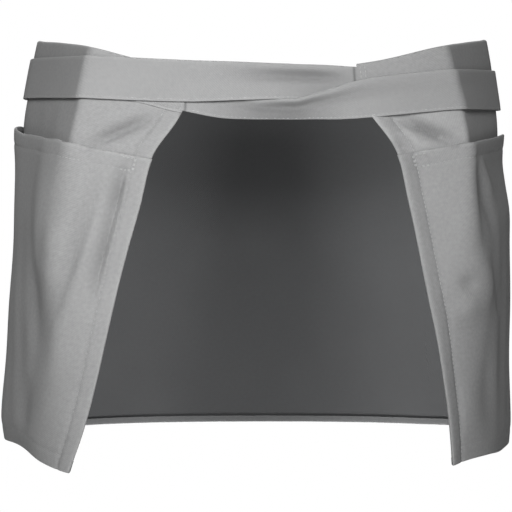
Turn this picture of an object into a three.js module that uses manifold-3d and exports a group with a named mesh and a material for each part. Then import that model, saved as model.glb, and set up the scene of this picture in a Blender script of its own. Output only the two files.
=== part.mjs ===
// A short waist apron in its worn form: a panel round the front and sides, a folded waistband,
// a patch pocket over each side, and two ties that cross at the open back and meet in a front knot.
// Millimetres. +X is the wearer's right, +Y the wearer's front and +Z up. The origin is the middle
// of the waist opening, half way up the waistband at the hips.
import * as THREE from "three";
import { mergeVertices } from "three/addons/utils/BufferGeometryUtils.js";
import { RoundedBoxGeometry } from "three/addons/geometries/RoundedBoxGeometry.js";
import Module from "manifold-3d";

// Cloth thicknesses and the gap between neighbouring pieces
const PANEL_WALL = 1.4;
const PANEL_HEM = 2.6;
const POCKET_WALL = 1.2;
const POCKET_HEM = 1.7;
const TIE_WALL = 1.5;
const SEAT = 0.3;

// Hems and the depth that the panel goes up into the waistband
const SIDE_HEM = 10;
const BOTTOM_HEM = 11;
const MOUTH_HEM = 10;
const HEM_STEP = 1;
const BAND_HEIGHT = 30;
const BAND_TUCK = 5;
const BAND_CLEAR = 0.4;

// Worn form
const FRONT_FULLNESS = 0.68;
const HIP_TURN = 10;
const APRON_DROP = 303;
const POCKET_DROP = 234;
const POCKET_DOWN = 0.224;

// Cloth lattice: columns from the front centre to a rear edge, and rows from the top down
const FRONT_COLUMNS = 18;
const BACK_COLUMNS = 9;
const BACK_WAY = 0.3;
const SIDE_COLUMNS = FRONT_COLUMNS + BACK_COLUMNS + 2;
const POCKET_FIRST_COLUMN = 7;
const PANEL_ROWS = 14;
const POCKET_ROWS = 12;
const TIE_ROWS = 4;
const TIE_FOLD = { from: 0.3, to: 0.8 };
const TIE_STEP = { wide: 11, fine: 4, cornerFrom: 102, cornerTo: 152, crossing: 72 };

// Knot at the front and its two tails
const KNOT_SIZE = { across: 34, deep: 20, tall: 32, round: 8 };
const KNOT_ROUND_STEPS = 3;
const KNOT_LIFT = 3.8;
const KNOT_HEIGHT = -12;
const TAIL_WIDTH = 27;
const TAIL_TOP = -20;
const TAIL_LIFT = 3.6;
const TAIL_COLUMNS = 4;
const TAIL_ROWS = 6;

// Level sections of the form. down is the share of the way from the top edge to the bottom edge.
// hip is the half width, and back the half width of the flat back.
const WIDTHS = [
  { down: 0, hipLeft: 171, hipRight: 171, backLeft: 122, backRight: 131 },
  { down: 0.1, hipLeft: 177, hipRight: 176, backLeft: 128, backRight: 138 },
  { down: 0.22, hipLeft: 182.8, hipRight: 180.4, backLeft: 136, backRight: 146 },
  { down: 0.34, hipLeft: 180, hipRight: 178.9, backLeft: 139, backRight: 148 },
  { down: 0.5, hipLeft: 178.4, hipRight: 177.8, backLeft: 142, backRight: 150 },
  { down: 0.65, hipLeft: 179, hipRight: 178.2, backLeft: 145, backRight: 151 },
  { down: 0.8, hipLeft: 182.5, hipRight: 180.2, backLeft: 148, backRight: 152 },
  { down: 1, hipLeft: 194.5, hipRight: 186.2, backLeft: 152, backRight: 153 },
];

// front and rear are the depths before and behind the hips, and round is how far from the rear corner
// its rounding starts
const DEPTHS = [
  { down: 0, front: 118, rear: 104, round: 14 },
  { down: 0.1, front: 121, rear: 105, round: 14 },
  { down: 0.22, front: 126, rear: 106, round: 18 },
  { down: 0.5, front: 136, rear: 106, round: 30 },
  { down: 0.75, front: 144, rear: 105, round: 38 },
  { down: 1, front: 150, rear: 104, round: 42 },
];

// Heights of the top and bottom edges. way runs from the back centre (0) round to the front centre (1).
const EDGE_HEIGHTS = [
  { way: 0, top: -25, bottomLeft: -306, bottomRight: -301 },
  { way: 0.12, top: -17, bottomLeft: -306, bottomRight: -301 },
  { way: 0.255, top: -1, bottomLeft: -304.6, bottomRight: -299.4 },
  { way: 0.3, top: 3.6, bottomLeft: -298.9, bottomRight: -295.8 },
  { way: 0.345, top: 7.6, bottomLeft: -292, bottomRight: -294.6 },
  { way: 0.39, top: 10.9, bottomLeft: -288.4, bottomRight: -295 },
  { way: 0.45, top: 14.2, bottomLeft: -288, bottomRight: -290.6 },
  { way: 0.49, top: 15, bottomLeft: -288.4, bottomRight: -289.6 },
  { way: 0.6, top: 13, bottomLeft: -289.4, bottomRight: -290 },
  { way: 0.75, top: 8, bottomLeft: -290, bottomRight: -290 },
  { way: 1, top: 3, bottomLeft: -290, bottomRight: -290 },
];

// Distance of the panel's rear edges from the back centre, measured along the cloth
const REAR_EDGES = [
  { down: 0, left: 54, right: 67 },
  { down: 0.1, left: 57, right: 71 },
  { down: 0.224, left: 77, right: 94 },
  { down: 0.35, left: 86.6, right: 103 },
  { down: 0.5, left: 98.4, right: 112.2 },
  { down: 0.65, left: 109, right: 121 },
  { down: 0.8, left: 119.4, right: 128.2 },
  { down: 0.9, left: 127.8, right: 132.6 },
  { down: 1, left: 139, right: 135.6 },
];

// How far each pocket stands off the panel at its fullest column, from the mouth (0) to the bottom (1)
const POCKET_FULLNESS = [
  { low: 0, left: 5.4, right: 5.3 },
  { low: 0.15, left: 8.1, right: 7 },
  { low: 0.35, left: 9.8, right: 9 },
  { low: 0.55, left: 12.8, right: 9.8 },
  { low: 0.75, left: 11.6, right: 7.6 },
  { low: 0.92, left: 7, right: 4.2 },
  { low: 1, left: 1, right: 1 },
];

// Folded section of the waistband: lift from the panel's mid surface and drop from the top edge,
// for the outer and the inner face of the strip
const BAND_FOLD = [
  { outerLift: 2.2, outerDrop: BAND_HEIGHT, innerLift: 1.1, innerDrop: BAND_HEIGHT },
  { outerLift: 2.2, outerDrop: 1.6, innerLift: 1.1, innerDrop: 2.2 },
  { outerLift: 1.1, outerDrop: 0, innerLift: 0.5, innerDrop: 1.2 },
  { outerLift: -1.1, outerDrop: 0, innerLift: -0.5, innerDrop: 1.2 },
  { outerLift: -2.2, outerDrop: 1.6, innerLift: -1.1, innerDrop: 2.2 },
  { outerLift: -2.2, outerDrop: BAND_HEIGHT, innerLift: -1.1, innerDrop: BAND_HEIGHT },
];

// Ties. at is the distance along the waist from the back centre, to the right; height is the middle of
// the tie; high and low are the lifts of its upper and lower edge, which part where it is folded.
const TIE_RIGHT = [
  { at: -459.4, height: -12, width: 20, high: 11, low: 11 },
  { at: -436.6, height: -12, width: 26, high: 5.4, low: 5.4 },
  { at: -414.6, height: -12, width: 28.4, high: 3.6, low: 3.6 },
  { at: -360, height: -12, width: 29, high: 3.4, low: 3.4 },
  { at: -235, height: -14, width: 29, high: 3.4, low: 3.4 },
  { at: -125, height: -21.8, width: 29.2, high: 3.4, low: 3.4 },
  { at: -57, height: -24.8, width: 28.5, high: 3.4, low: 3.4 },
  { at: -20, height: -24.9, width: 26.4, high: 3.4, low: 3.4 },
  { at: 0, height: -25, width: 25, high: 3.3, low: 3.3 },
  { at: 8, height: -25, width: 24.4, high: 3, low: 3 },
  { at: 17, height: -25.1, width: 24.2, high: 1.8, low: 1.5 },
  { at: 26, height: -25.2, width: 23.8, high: 0.6, low: -0.2 },
  { at: 40, height: -25.7, width: 23.4, high: 0.1, low: -1.6 },
  { at: 52, height: -26.8, width: 24, high: 0, low: -1.2 },
  { at: 66, height: -29.8, width: 24.6, high: 0, low: 0 },
  { at: 76, height: -27.8, width: 24.4, high: 0, low: 0 },
];
const TIE_LEFT = [
  { at: -63, height: -31, width: 26, high: 0, low: 0 },
  { at: -53, height: -33.2, width: 26, high: 0, low: 0 },
  { at: -30, height: -38.6, width: 24, high: 0, low: -2 },
  { at: -5, height: -44.9, width: 15, high: 0.2, low: -4.5 },
  { at: 8, height: -45.4, width: 14.6, high: 0.6, low: -5 },
  { at: 17, height: -45.5, width: 15, high: 1.8, low: -4 },
  { at: 26, height: -45.5, width: 15.2, high: 3.1, low: -2.5 },
  { at: 36, height: -44, width: 18.2, high: 3.4, low: -0.5 },
  { at: 54, height: -41.4, width: 23, high: 3.6, low: 2.6 },
  { at: 66, height: -39.2, width: 26.4, high: 3.6, low: 3.4 },
  { at: 83, height: -36.8, width: 28.4, high: 3.4, low: 3.4 },
  { at: 135, height: -31.4, width: 28.6, high: 3.4, low: 3.4 },
  { at: 240, height: -23, width: 29.2, high: 3.4, low: 3.4 },
  { at: 365, height: -15, width: 29, high: 3.4, low: 3.4 },
  { at: 418.6, height: -12.2, width: 28.4, high: 3.6, low: 3.6 },
  { at: 440.6, height: -12, width: 26, high: 5.4, low: 5.4 },
  { at: 463.8, height: -12, width: 20, high: 11, low: 11 },
];

// Tails: reach is the distance that the lower end has wandered from the front centre
const TAILS = [
  { start: -7, reach: -30, length: 108 },
  { start: 7, reach: 36, length: 116 },
];

const { lerp, smoothstep } = THREE.MathUtils;

function spline(table, place, column, ending) {
  const places = table.map((row) => row[place]);
  const values = table.map((row) => row[column]);
  const curve = new THREE.CubicInterpolant(places, values, 1);
  curve.settings = { endingStart: ending, endingEnd: ending };
  return (at) => curve.evaluate(at)[0];
}

const downSpline = (table, column) => spline(table, "down", column, THREE.ZeroCurvatureEnding);
const waySpline = (column) => spline(EDGE_HEIGHTS, "way", column, THREE.ZeroSlopeEnding);

const topHeight = waySpline("top");
const frontDepth = downSpline(DEPTHS, "front");
const rearDepth = downSpline(DEPTHS, "rear");
const cornerRound = downSpline(DEPTHS, "round");

// What differs between the wearer's left (-1) and right (1) side
const SIDES = new Map([["Left", -1], ["Right", 1]].map(([name, side]) => [side, {
  hip: downSpline(WIDTHS, `hip${name}`),
  back: downSpline(WIDTHS, `back${name}`),
  bottom: waySpline(`bottom${name}`),
  edge: downSpline(REAR_EDGES, name.toLowerCase()),
  fullness: spline(POCKET_FULLNESS, "low", name.toLowerCase(), THREE.ZeroCurvatureEnding),
}]));

// Half of a level section, from the front centre over the hip and the rear corner to the back centre
const outlines = new Map();
function outline(side, down) {
  const key = `${side} ${down.toFixed(4)}`;
  if (!outlines.has(key)) {
    const hip = SIDES.get(side).hip(down);
    const front = frontDepth(down);
    const shoulder = new THREE.Vector2(hip, -HIP_TURN);
    const corner = new THREE.Vector2(SIDES.get(side).back(down), -rearDepth(down));
    const facet = corner.clone().sub(shoulder).normalize();
    const turned = shoulder.clone().addScaledVector(facet, HIP_TURN);
    const bend = corner.clone().addScaledVector(facet, -cornerRound(down));
    const path = new THREE.Path();
    path.moveTo(0, front);
    path.bezierCurveTo(FRONT_FULLNESS * hip, front, hip, FRONT_FULLNESS * front, hip, 0);
    path.quadraticCurveTo(shoulder.x, shoulder.y, turned.x, turned.y);
    path.lineTo(bend.x, bend.y);
    path.quadraticCurveTo(corner.x, corner.y, corner.x - cornerRound(down), corner.y);
    path.lineTo(0, corner.y);
    outlines.set(key, path);
  }
  return outlines.get(key);
}

const halfGirth = (side, down) => outline(side, down).getLength();

// Point of the form at a height, lifted off the panel's mid surface
function onForm(side, way, height, lift) {
  const top = topHeight(way);
  const down = (top - height) / (top - SIDES.get(side).bottom(way));
  const path = outline(side, THREE.MathUtils.clamp(down, 0, 1));
  const at = path.getPoint(1 - way);
  const along = path.getTangent(1 - way);
  return new THREE.Vector3(side * (at.x - along.y * lift), at.y + along.x * lift, height);
}

// Closed sheet of cloth. across and up run from 0 to 1 over the sheet, and out from its inner
// to its outer face.
function clothSheet(columns, rows, place) {
  const box = new THREE.BoxGeometry(1, 1, 1, columns, rows, 1);
  box.deleteAttribute("normal");
  box.deleteAttribute("uv");
  const sheet = mergeVertices(box);
  const position = sheet.getAttribute("position");
  const corner = new THREE.Vector3();
  for (let i = 0; i < position.count; i += 1) {
    corner.fromBufferAttribute(position, i).addScalar(0.5);
    const point = place(corner.x, corner.y, corner.z);
    position.setXYZ(i, point.x, point.y, point.z);
  }
  sheet.computeVertexNormals();
  return sheet;
}

// Way of a lattice column: even steps round the front, then steps that end with the side hem
function columnWay(side, column, down) {
  if (column <= FRONT_COLUMNS) {
    return lerp(1, BACK_WAY, column / FRONT_COLUMNS);
  }
  const girth = halfGirth(side, down);
  const edge = SIDES.get(side).edge(down);
  const step = column - FRONT_COLUMNS;
  if (step <= BACK_COLUMNS) {
    return lerp(BACK_WAY, (edge + SIDE_HEM + HEM_STEP) / girth, step / BACK_COLUMNS);
  }
  return step === BACK_COLUMNS + 1 ? (edge + SIDE_HEM) / girth : edge / girth;
}

// Share of a row that ends with a hem of the given height, in a sheet of the given drop
function hemmedShare(row, rows, hem, drop) {
  if (row === rows) {
    return 1;
  }
  const even = rows - 2;
  return row > even ? 1 - hem / drop : (1 - (hem + HEM_STEP) / drop) * (row / even);
}

function panelPlace(across, up, out) {
  const turn = Math.round((1 - 2 * across) * SIDE_COLUMNS);
  const side = turn < 0 ? -1 : 1;
  const column = Math.abs(turn);
  const row = Math.round((1 - up) * PANEL_ROWS);
  const share = hemmedShare(row, PANEL_ROWS, BOTTOM_HEM, APRON_DROP - BAND_HEIGHT);
  const way = columnWay(side, column, lerp(BAND_HEIGHT / APRON_DROP, 1, share));
  const inSideHem = column > FRONT_COLUMNS + BACK_COLUMNS;
  const tuck = inSideHem ? BAND_HEIGHT + BAND_CLEAR : BAND_HEIGHT - BAND_TUCK;
  const height = lerp(topHeight(way) - tuck, SIDES.get(side).bottom(way), share);
  const hemmed = row > 0 && (inSideHem || row > PANEL_ROWS - 2);
  const inner = PANEL_WALL / 2 - (hemmed ? PANEL_HEM : PANEL_WALL);
  return onForm(side, way, height, lerp(inner, PANEL_WALL / 2, out));
}

function bandPlace(across, up, out) {
  const turn = Math.round((1 - 2 * across) * SIDE_COLUMNS);
  const side = turn < 0 ? -1 : 1;
  const fold = BAND_FOLD[Math.round(up * (BAND_FOLD.length - 1))];
  const drop = lerp(fold.innerDrop, fold.outerDrop, out);
  const way = columnWay(side, Math.abs(turn), drop / APRON_DROP);
  return onForm(side, way, topHeight(way) - drop, lerp(fold.innerLift, fold.outerLift, out));
}

function pocketPlace(side) {
  return (across, up, out) => {
    const fromFront = side > 0 ? 1 - across : across;
    const column = Math.round(lerp(POCKET_FIRST_COLUMN, SIDE_COLUMNS, fromFront));
    const row = Math.round(up * POCKET_ROWS);
    const low = 1 - hemmedShare(row, POCKET_ROWS, MOUTH_HEM, POCKET_DROP);
    const down = lerp(POCKET_DOWN, 1, low);
    const way = columnWay(side, column, down);
    const height = lerp(topHeight(way), SIDES.get(side).bottom(way), down);
    const seam = columnWay(side, POCKET_FIRST_COLUMN, down);
    const edge = columnWay(side, SIDE_COLUMNS, down);
    const swell = Math.sin(Math.PI * (way - edge) / (seam - edge));
    const inner = PANEL_WALL / 2 + SEAT + SIDES.get(side).fullness(low) * swell;
    const wall = row > POCKET_ROWS - 2 ? POCKET_HEM : POCKET_WALL;
    return onForm(side, way, height, inner + wall * out);
  };
}

// Stations along a tie, closer together at the crossing and round the rear corners
function tieStations(table) {
  const last = table[table.length - 1].at;
  const stations = [];
  let at = table[0].at;
  while (at < last) {
    stations.push(at);
    const reach = Math.abs(at);
    const bends = reach > TIE_STEP.cornerFrom && reach < TIE_STEP.cornerTo;
    at += bends || reach < TIE_STEP.crossing ? TIE_STEP.fine : TIE_STEP.wide;
  }
  stations.push(last);
  return stations;
}

function tieSheet(table) {
  const column = (name) => spline(table, "at", name, THREE.ZeroCurvatureEnding);
  const height = column("height");
  const width = column("width");
  const high = column("high");
  const low = column("low");
  const stations = tieStations(table);
  const steps = stations.length - 1;
  return clothSheet(steps, TIE_ROWS, (across, up, out) => {
    const at = stations[Math.round(across * steps)];
    const side = at < 0 ? -1 : 1;
    const way = Math.abs(at) / halfGirth(side, -height(at) / APRON_DROP);
    const lift = lerp(low(at), high(at), smoothstep(up, TIE_FOLD.from, TIE_FOLD.to));
    const level = height(at) + width(at) * (up - 0.5);
    return onForm(side, way, level, lift + TIE_WALL * (out - 0.5));
  });
}

function tailPlace(tail) {
  return (across, up, out) => {
    const height = lerp(TAIL_TOP - tail.length, TAIL_TOP, up);
    const middle = lerp(tail.reach, tail.start, up);
    const at = middle + TAIL_WIDTH * (0.5 - across);
    const side = at < 0 ? -1 : 1;
    const way = 1 - Math.abs(at) / halfGirth(side, BAND_HEIGHT / APRON_DROP);
    return onForm(side, way, height, TAIL_LIFT + TIE_WALL * out);
  };
}

const manifoldModule = await Module();
manifoldModule.setup();

function toManifold(geometry) {
  const bare = geometry.clone();
  bare.deleteAttribute("normal");
  bare.deleteAttribute("uv");
  const merged = mergeVertices(bare);
  const mesh = new manifoldModule.Mesh({
    numProp: 3,
    vertProperties: Float32Array.from(merged.getAttribute("position").array),
    triVerts: Uint32Array.from(merged.getIndex().array),
  });
  return new manifoldModule.Manifold(mesh);
}

function joined(geometries) {
  const whole = geometries.map(toManifold).reduce((one, other) => one.add(other));
  const mesh = whole.getMesh();
  const geometry = new THREE.BufferGeometry();
  geometry.setAttribute("position", new THREE.BufferAttribute(mesh.vertProperties, 3));
  geometry.setIndex(new THREE.BufferAttribute(mesh.triVerts, 1));
  geometry.computeVertexNormals();
  return geometry;
}

function knotBody() {
  const { across, deep, tall, round } = KNOT_SIZE;
  const body = new RoundedBoxGeometry(across, deep, tall, KNOT_ROUND_STEPS, round);
  const seat = onForm(1, 1, KNOT_HEIGHT, KNOT_LIFT + deep / 2);
  return body.translate(0, seat.y, KNOT_HEIGHT);
}

const tails = TAILS.map((tail) => clothSheet(TAIL_COLUMNS, TAIL_ROWS, tailPlace(tail)));
const pocketColumns = SIDE_COLUMNS - POCKET_FIRST_COLUMN;

const twill = { color: 0x8f9193, roughness: 0.92, metalness: 0 };
const PIECES = [
  ["apron_panel", clothSheet(2 * SIDE_COLUMNS, PANEL_ROWS, panelPlace)],
  ["waistband", clothSheet(2 * SIDE_COLUMNS, BAND_FOLD.length - 1, bandPlace)],
  ["pocket_left", clothSheet(pocketColumns, POCKET_ROWS, pocketPlace(-1))],
  ["pocket_right", clothSheet(pocketColumns, POCKET_ROWS, pocketPlace(1))],
  ["tie_left", tieSheet(TIE_LEFT)],
  ["tie_right", tieSheet(TIE_RIGHT)],
  ["front_knot", joined([knotBody(), ...tails])],
];

const apron = new THREE.Group();
apron.name = "waist_apron";
for (const [name, geometry] of PIECES) {
  const piece = new THREE.Mesh(geometry, new THREE.MeshStandardMaterial(twill));
  piece.name = name;
  apron.add(piece);
}

export default apron;
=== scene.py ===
# %% [markdown]
# # A waist apron in grey twill
# The apron is seen from behind, in its tied form: one panel of cloth goes round the front and both sides and
# stays open at the back. A waistband folds over its top edge, two ties leave the ends of the band, cross at
# the back and meet in a knot at the front, and a large patch pocket covers each side.
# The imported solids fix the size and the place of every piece. The lesson dresses each of them in cloth: thin
# sheets with turned hems, soft folds, stitches and a woven finish.

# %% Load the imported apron
import math
from functools import partial

import bpy
import numpy as np
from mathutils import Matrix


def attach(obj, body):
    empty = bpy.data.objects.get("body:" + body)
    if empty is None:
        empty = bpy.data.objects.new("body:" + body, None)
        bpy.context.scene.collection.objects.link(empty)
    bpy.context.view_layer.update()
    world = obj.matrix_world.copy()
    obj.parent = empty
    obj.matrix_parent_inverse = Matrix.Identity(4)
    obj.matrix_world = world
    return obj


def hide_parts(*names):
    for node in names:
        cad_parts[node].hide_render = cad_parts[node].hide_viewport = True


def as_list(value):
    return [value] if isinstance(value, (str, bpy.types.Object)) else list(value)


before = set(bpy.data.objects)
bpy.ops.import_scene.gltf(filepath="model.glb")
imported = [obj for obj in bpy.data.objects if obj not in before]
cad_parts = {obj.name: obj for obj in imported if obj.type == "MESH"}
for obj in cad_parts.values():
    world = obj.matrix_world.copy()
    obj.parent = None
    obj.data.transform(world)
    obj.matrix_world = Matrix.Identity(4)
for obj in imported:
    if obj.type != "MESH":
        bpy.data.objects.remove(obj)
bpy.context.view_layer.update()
MM = 0.001
SIDES = {-1: "left", 1: "right"}

# %% [markdown]
# ## Camera
# The picture was taken level, from straight behind, at the middle of the apron's height. A long lens far
# away would flatten it and a short one would spread it. The distance below gives the slight perspective in
# which the front hem stands higher in the picture than the two rear corners.

# %% Set the camera
CAMERA_AWAY = 1420 * MM
CAMERA_ASIDE = -4.6 * MM
CAMERA_HEIGHT = -149.5 * MM
VIEW_WIDTH = 512 * 0.77 * MM
SENSOR = 36.0

camera_data = bpy.data.cameras.new("rear_camera")
camera_data.sensor_width = SENSOR
camera_data.lens = SENSOR * CAMERA_AWAY / VIEW_WIDTH
camera = bpy.data.objects.new("rear_camera", camera_data)
camera.location = (CAMERA_ASIDE, -CAMERA_AWAY, CAMERA_HEIGHT)
camera.rotation_euler = (math.pi / 2, 0, 0)
scene = bpy.context.scene
scene.collection.objects.link(camera)
scene.camera = camera
print("lens, mm:", round(camera_data.lens, 2))

# %% [markdown]
# ## Light and floor
# The main light is a soft box in front of the flat back and above it, a little to the left, so that the back
# is bright, the slanted sides fall to a middle grey and the inside stays dark; the inside is also painted
# darker, as painted shade. Two lamps light the front, and two light the floor before and behind the apron. A
# narrow strip behind each rear flap brightens the far side of the hollow, so that its round shape shows, and
# two small lamps below the apron brighten its lower part.
# The surroundings show white to the camera and give only a weak light to the cloth, so they don't wash the
# shading out. A pale floor lies well below the hem.

# %% Hang the lamps
def soft_box(name, place, size, watts, aim=(0, 0, -0.15), spread=180):
    """A lamp that faces a point; a smaller spread, in degrees, dims it away from that point."""
    data = bpy.data.lights.new(name, "AREA")
    data.shape = "RECTANGLE"
    data.size, data.size_y = size
    data.energy = watts
    data.spread = math.radians(spread)
    lamp = bpy.data.objects.new(name, data)
    lamp.location = place
    away = np.array(place) - np.array(aim)
    lamp.rotation_euler = (
        math.acos(away[2] / np.linalg.norm(away)),
        0,
        math.atan2(away[1], away[0]) + math.pi / 2,
    )
    scene.collection.objects.link(lamp)
    return lamp


soft_box("key_light", (-0.035, -0.97, 0.11), (0.30, 0.30), 1.9, aim=(-0.09, -0.1, -0.12), spread=75)
soft_box("floor_light", (0, 1.9, 2.2), (2.0, 2.0), 50, aim=(0, 1.0, -0.4))
rear_floor = soft_box("rear_floor_light", (0, -2.3, 0.9), (2.0, 2.0), 12, aim=(0, -2.3, -0.95), spread=100)
rear_floor.visible_camera = False
for aside, name in SIDES.items():
    soft_box(f"front_light_{name}", (0.45 * aside, 2.6, 0.8), (0.6, 0.6), 14)
    strip = soft_box(
        f"hollow_light_{name}", (0.135 * aside, -0.07, -0.13), (0.02, 0.20), 0.22,
        aim=(-0.15 * aside, 0.06, -0.12), spread=54,
    )
    strip.visible_camera = False
    soft_box(
        f"low_light_{name}", (0.02 * aside, 0.0, -0.55), (0.12, 0.12), 0.24 + 0.03 * aside,
        aim=(0.12 * aside, 0.11, -0.27), spread=56,
    )

# %% Lay the floor and the white surroundings
FLOOR_HEIGHT = -0.95
SKY_LIGHT = 0.02

bpy.ops.mesh.primitive_plane_add(size=5, location=(0, 0, 0))
floor = bpy.context.active_object
floor.name = "floor"
floor.data.vertices.foreach_set(
    "co", np.array([(v.co.x, v.co.y, FLOOR_HEIGHT) for v in floor.data.vertices]).ravel()
)

world = bpy.data.worlds.new("white_studio")
scene.world = world
world.use_nodes = True
sky = world.node_tree
sky.nodes.clear()
either = sky.nodes.new("ShaderNodeMixShader")
for entry, strength in ((1, SKY_LIGHT), (2, 1.0)):
    white = sky.nodes.new("ShaderNodeBackground")
    white.inputs["Color"].default_value = (1, 1, 1, 1)
    white.inputs["Strength"].default_value = strength
    sky.links.new(white.outputs[0], either.inputs[entry])
seen = sky.nodes.new("ShaderNodeLightPath")
sky_out = sky.nodes.new("ShaderNodeOutputWorld")
sky.links.new(seen.outputs["Is Camera Ray"], either.inputs[0])
sky.links.new(either.outputs[0], sky_out.inputs["Surface"])
scene.view_settings.view_transform = "Standard"
print("floor at, m:", FLOOR_HEIGHT)

# %% [markdown]
# ## Materials as sums
# A woven finish is a sum of small waves and noises. Nodes can be added by hand one at a time, but a formula
# is easier to read. The class below wraps a socket, so that `rib * 0.5 + 0.5` adds the Math nodes, and its
# `node` method makes any other node from its type, its settings and its socket values.


# %% Wrap a socket
def feed(tree, node, values):
    """Links sockets to the inputs of a node and sets its other inputs to plain values."""
    for name, value in values.items():
        if isinstance(value, Socket):
            tree.links.new(value.out, node.inputs[name])
        else:
            node.inputs[name].default_value = value


class Socket:
    """An output of a node that can stand in a formula."""

    def __init__(self, tree, out=None):
        self.tree = tree
        self.out = out

    def node(self, kind, settings=None, values=None):
        """A new node of any kind, as its first output."""
        made = self.tree.nodes.new(kind)
        for name, value in (settings or {}).items():
            setattr(made, name, value)
        feed(self.tree, made, values or {})
        return Socket(self.tree, made.outputs[0])

    def output(self, name):
        """Another output of the same node."""
        return Socket(self.tree, self.out.node.outputs[name])

    def math(self, operation, *values):
        """One Math node over sockets and numbers."""
        return self.node("ShaderNodeMath", {"operation": operation}, dict(enumerate(values)))

    def __add__(self, other):
        return self.math("ADD", self, other)

    def __sub__(self, other):
        return self.math("SUBTRACT", self, other)

    def __rsub__(self, other):
        return self.math("SUBTRACT", other, self)

    def __mul__(self, other):
        return self.math("MULTIPLY", self, other)

    __radd__ = __add__
    __rmul__ = __mul__


def new_finish(name):
    """A new material, its node tree and its main shader."""
    material = bpy.data.materials.new(name)
    material.use_nodes = True
    tree = material.node_tree
    return material, tree, tree.nodes["Principled BSDF"]


def noise(vector, scale, detail=2.0):
    """A soft noise over a place or a UV map."""
    return vector.node("ShaderNodeTexNoise", None, {"Vector": vector, "Scale": scale, "Detail": detail})


def between(factor, dark, light, clamp=True):
    """A colour between two shades."""
    return factor.node("ShaderNodeMix", {"data_type": "RGBA", "clamp_factor": clamp}, {
        "Factor": factor, 6: (*dark, 1), 7: (*light, 1),
    }).output(2)


print("socket formulas ready")

# %% [markdown]
# ## The twill
# Twill shows fine slanting ribs. A picture of cloth could be wrapped round each piece, but it would show its
# pixels close up. Here a formula weaves it. Each sheet carries a UV map called `cloth` that is measured in
# metres along and across the thread, so the ribs keep their size and follow every fold. Yarns differ a little
# in shade and thickness, and the dye is slightly mottled. Folded edges are rubbed paler with wear. The right
# back of the panel is painted paler as painted light, and seams, furrows, hems and parts of the ties are
# painted darker as painted shade. One attribute carries all of this: it is above 0 where the cloth is paler
# and below 0 where it is darker. The ties are pressed smoother than the rest. The reverse is painted much
# darker than the face, as painted shade for the inside of the apron.

# %% Weave the twill
RIB_PITCH = 1.9 * MM
YARN_PITCH = 0.8 * MM
YARN_STRETCH = 0.18
RIB_DRIFT = 0.5 * MM
RIB_RELIEF = 0.25 * MM
CLOTH_ROUGH = 0.86


def strands(cloth, scale):
    """Uneven yarns: a noise that is drawn out in one direction."""
    drawn = cloth.node("ShaderNodeMapping", None, {"Vector": cloth, "Scale": (*scale, 1)})
    return noise(drawn, 1.0)


def twill(name, dark, light, slope=1.0, grain=0.62):
    """A woven finish between two shades, with ribs that rise to one side and an uneven grain."""
    material, tree, finish = new_finish(name)
    cloth = Socket(tree).node("ShaderNodeUVMap", {"uv_map": "cloth"})
    across = cloth.node("ShaderNodeSeparateXYZ", None, {0: cloth})
    along = across.output("Y")
    rib_run = (across + along * slope + noise(cloth, 60.0) * RIB_DRIFT) * (2 * math.pi / RIB_PITCH)
    rib = rib_run.math("SINE", rib_run) * 0.5 + 0.5
    yarn = strands(cloth, (1 / YARN_PITCH, YARN_STRETCH / YARN_PITCH))
    weft = strands(cloth, (YARN_STRETCH / YARN_PITCH, 1 / YARN_PITCH))
    mottle = noise(cloth, 22.0, 5.0)
    slub = noise(cloth, 380.0)
    # Real wear pales edges; the same attribute carries painted light on the right back of the panel and
    # painted shade on seams, furrows, hems and ties.
    wear_and_shading = cloth.node("ShaderNodeAttribute", {"attribute_name": "wear_and_shading"}).output("Fac")
    woven = rib * 0.16 + yarn * 0.36 + weft * 0.28
    paleness = woven + mottle * 0.34 + (slub - 0.5) * grain + wear_and_shading * 0.30 - 0.10
    # No clamp, so painted shade can take the colour below the dark shade.
    shade = between(paleness, dark, light, clamp=False)
    roughness = CLOTH_ROUGH + (yarn - 0.5) * 0.10 - wear_and_shading * 0.02
    height = rib * 0.6 + yarn * 0.35 + weft * 0.25
    relief = cloth.node("ShaderNodeBump", None, {
        "Strength": 0.35, "Distance": RIB_RELIEF, "Height": height,
    })
    feed(tree, finish, {
        "Base Color": shade, "Roughness": roughness, "Normal": relief,
        "Specular IOR Level": 0.25, "Sheen Weight": 0.08, "Sheen Roughness": 0.5,
    })
    return material


twill_face = twill("twill_face", (0.238, 0.239, 0.240), (0.378, 0.379, 0.380))
twill_pressed = twill("twill_pressed", (0.236, 0.237, 0.238), (0.374, 0.375, 0.376), grain=0.25)
# Painted shade: the reverse is coloured far darker than the face, so the inside of the apron looks shaded.
twill_reverse_shade = twill(
    "twill_reverse_shade", (0.0265, 0.027, 0.028), (0.0455, 0.0465, 0.0475), slope=-1.0, grain=0.25,
)
# Painted shade: turned hems that show inside take a darker copy of the face.
twill_turned_shade = twill("twill_turned_shade", (0.052, 0.053, 0.054), (0.086, 0.087, 0.088), slope=-1.0)
print("finishes:", twill_face.name, twill_pressed.name, twill_reverse_shade.name, twill_turned_shade.name)

# %% [markdown]
# ## Thread and paper
# The sewing thread is a little paler and smoother than the cloth. Thread is plied from finer yarns, which
# shows as a slanting twist. The plies could be modelled, but at this size one sine wave between two shades is
# enough. The floor is matt paper, with a faint cloudiness so that it isn't one flat colour.

# %% The sewing thread
THREAD_PLY = 0.5 * MM


def thread(name, dark, light):
    """A plied thread: a fine slanting twist in two near shades."""
    material, tree, finish = new_finish(name)
    place = Socket(tree).node("ShaderNodeTexCoord").output("Object")
    axes = place.node("ShaderNodeSeparateXYZ", None, {0: place})
    run = (axes + axes.output("Y") + axes.output("Z") * 2.0) * (2 * math.pi / THREAD_PLY)
    ply = run.math("SINE", run) * 0.5 + 0.5
    shade = between(ply, dark, light)
    roughness = 0.62 + ply * 0.12
    feed(tree, finish, {"Base Color": shade, "Roughness": roughness, "Specular IOR Level": 0.35})
    return material


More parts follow.
